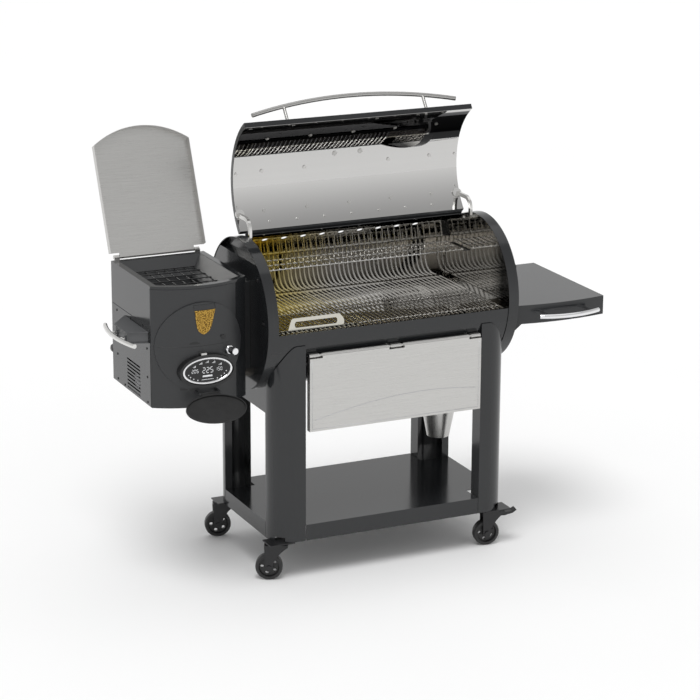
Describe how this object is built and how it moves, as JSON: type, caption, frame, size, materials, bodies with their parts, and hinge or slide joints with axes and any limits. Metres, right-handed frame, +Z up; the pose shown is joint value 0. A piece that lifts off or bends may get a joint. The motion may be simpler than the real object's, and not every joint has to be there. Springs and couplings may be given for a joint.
{
  "type": "wood pellet grill",
  "caption": "Barrel-shaped wood pellet grill on a wheeled cart, lid and pellet hopper standing open, with fold-down front shelf and side shelf.",
  "frame": {"origin": "on the floor, under the middle of the whole grill's bounding box as it stands in the picture", "axes": "+X to the grill's right, towards the side shelf; +Y towards its back; +Z up"},
  "size_m": [1.861, 0.7837, 1.6763],
  "materials": {
    "charcoal_paint": "gloss charcoal powder coat",
    "stainless": "satin brushed stainless",
    "polished_liner": "polished stainless sheet",
    "grate_steel": "bright rods",
    "chrome": "polished chrome",
    "black_plastic": "matte black",
    "caster_steel": "black painted pressed steel",
    "wheel_plastic": "black moulded wheel",
    "fire_steel": "heavy plain steel",
    "zinc": "zinc plated",
    "display": "gloss black face"
  },
  "bodies": {
    "frame": {"leg_front_left": "charcoal_paint", "leg_front_right": "charcoal_paint", "leg_rear_left": "charcoal_paint", "leg_rear_right": "charcoal_paint", "bottom_shelf": "charcoal_paint", "leg_braces": "charcoal_paint", "caster_plates": "caster_steel", "barrel_shell": "charcoal_paint", "end_cap_left": "charcoal_paint", "end_cap_right": "charcoal_paint", "cooking_grate": "grate_steel", "warming_rack": "grate_steel", "grease_tray": "fire_steel", "flame_deflector": "fire_steel", "burn_pot": "fire_steel", "grease_spout": "charcoal_paint", "hinge_pins": "stainless", "hopper_body": "charcoal_paint", "hopper_front_panel": "charcoal_paint", "hopper_side_cover": "charcoal_paint", "pellet_bin": "charcoal_paint", "pellet_guard": "caster_steel", "auger_tube": "fire_steel", "auger_motor": "zinc", "blower_housing": "black_plastic", "control_bezel": "black_plastic", "control_face": "display", "side_handle": "stainless", "side_handle_bracket": "charcoal_paint", "side_shelf": "charcoal_paint", "side_shelf_brackets": "charcoal_paint", "towel_bar": "chrome", "front_shelf_hinge": "stainless", "power_gland": "black_plastic", "probe_grommet": "black_plastic", "screws": "caster_steel"},
    "lid": {"lid_shell": "charcoal_paint", "lid_liner": "polished_liner", "lid_rivets": "stainless", "lid_handle": "stainless", "lid_hinge_arms": "stainless"},
    "hopper_lid": {"hopper_lid": "stainless"},
    "control_cover": {"control_cover": "black_plastic"},
    "front_shelf": {"front_shelf": "stainless"},
    "selector_dial": {"selector_dial": "chrome"},
    "sear_grate": {"sear_grate": "grate_steel"},
    "auger": {"auger": "fire_steel"},
    "impeller": {"blower_impeller": "black_plastic"},
    "bail": {"bucket_bail": "grate_steel"},
    "bucket": {"grease_bucket": "stainless"},
    "fork_front_left": {"caster_fork_front_left": "caster_steel"},
    "wheel_front_left": {"caster_wheel_front_left": "wheel_plastic"},
    "fork_front_right": {"caster_fork_front_right": "caster_steel"},
    "wheel_front_right": {"caster_wheel_front_right": "wheel_plastic"},
    "brake_front_right": {"brake_lever_front_right": "black_plastic"},
    "fork_rear_left": {"caster_fork_rear_left": "caster_steel"},
    "wheel_rear_left": {"caster_wheel_rear_left": "wheel_plastic"},
    "fork_rear_right": {"caster_fork_rear_right": "caster_steel"},
    "wheel_rear_right": {"caster_wheel_rear_right": "wheel_plastic"},
    "brake_rear_right": {"brake_lever_rear_right": "black_plastic"}
  },
  "joints": [
    {"name": "lid_swing", "type": "hinge", "parent": "frame", "child": "lid", "pos_m": [0.0675, 0.0523, 1.188], "axis": [-1, 0, 0], "range_deg": [-125.5, 0]},
    {"name": "hopper_lid_swing", "type": "hinge", "parent": "frame", "child": "hopper_lid", "pos_m": [-0.6475, 0.2143, 1.13], "axis": [-1, 0, 0], "range_deg": [-113.3, 0]},
    {"name": "control_cover_swing", "type": "hinge", "parent": "frame", "child": "control_cover", "pos_m": [-0.6445, -0.2747, 0.743], "axis": [-1, 0, 0], "range_deg": [0, 122]},
    {"name": "front_shelf_fold", "type": "hinge", "parent": "frame", "child": "front_shelf", "pos_m": [0.0675, -0.2777, 0.831], "axis": [-1, 0, 0], "range_deg": [0, 90]},
    {"name": "dial_turn", "type": "hinge", "parent": "frame", "child": "selector_dial", "pos_m": [-0.5595, -0.2356, 0.882], "axis": [0.2924, -0.9563, 0], "range_deg": [-270, 0]},
    {"name": "sear_grate_lift", "type": "slide", "parent": "frame", "child": "sear_grate", "axis": [0, 0, 1], "range_m": [0, 0.1]},
    {"name": "auger_spin", "type": "hinge", "parent": "frame", "child": "auger", "pos_m": [-0.4325, -0.0092, 0.735], "axis": [1, 0, 0], "continuous": true},
    {"name": "impeller_spin", "type": "hinge", "parent": "frame", "child": "impeller", "pos_m": [-0.5525, 0.0973, 0.76], "axis": [0, 1, 0], "continuous": true},
    {"name": "bail_swing", "type": "hinge", "parent": "frame", "child": "bail", "pos_m": [0.3915, 0.0128, 0.602], "axis": [1, 0, 0], "range_deg": [-15, 15]},
    {"name": "bucket_swing", "type": "hinge", "parent": "bail", "child": "bucket", "pos_m": [0.3915, 0.0128, 0.536], "axis": [1, 0, 0], "range_deg": [-20, 20]},
    {"name": "swivel_front_left", "type": "hinge", "parent": "frame", "child": "fork_front_left", "pos_m": [-0.3705, -0.2377, 0.13], "axis": [0, 0, 1], "continuous": true},
    {"name": "roll_front_left", "type": "hinge", "parent": "fork_front_left", "child": "wheel_front_left", "pos_m": [-0.40222, -0.22291, 0.049], "axis": [-0.4226, -0.9063, 0], "continuous": true},
    {"name": "swivel_front_right", "type": "hinge", "parent": "frame", "child": "fork_front_right", "pos_m": [0.5055, -0.2377, 0.13], "axis": [0, 0, 1], "continuous": true},
    {"name": "roll_front_right", "type": "hinge", "parent": "fork_front_right", "child": "wheel_front_right", "pos_m": [0.47103, -0.23162, 0.049], "axis": [-0.1736, -0.9848, 0], "continuous": true},
    {"name": "brake_front_right_press", "type": "hinge", "parent": "fork_front_right", "child": "brake_front_right", "pos_m": [0.5252, -0.24117, 0.118], "axis": [0.1736, 0.9848, 0], "range_deg": [0, 12]},
    {"name": "swivel_rear_left", "type": "hinge", "parent": "frame", "child": "fork_rear_left", "pos_m": [-0.3705, 0.2523, 0.13], "axis": [0, 0, 1], "continuous": true},
    {"name": "roll_rear_left", "type": "hinge", "parent": "fork_rear_left", "child": "wheel_rear_left", "pos_m": [-0.40431, 0.26136, 0.049], "axis": [-0.2588, -0.9659, 0], "continuous": true},
    {"name": "swivel_rear_right", "type": "hinge", "parent": "frame", "child": "fork_rear_right", "pos_m": [0.5055, 0.2523, 0.13], "axis": [0, 0, 1], "continuous": true},
    {"name": "roll_rear_right", "type": "hinge", "parent": "fork_rear_right", "child": "wheel_rear_right", "pos_m": [0.47169, 0.26136, 0.049], "axis": [-0.2588, -0.9659, 0], "continuous": true},
    {"name": "brake_rear_right_press", "type": "hinge", "parent": "fork_rear_right", "child": "brake_rear_right", "pos_m": [0.52482, 0.24712, 0.118], "axis": [0.2588, 0.9659, 0], "range_deg": [0, 12]}
  ]
}
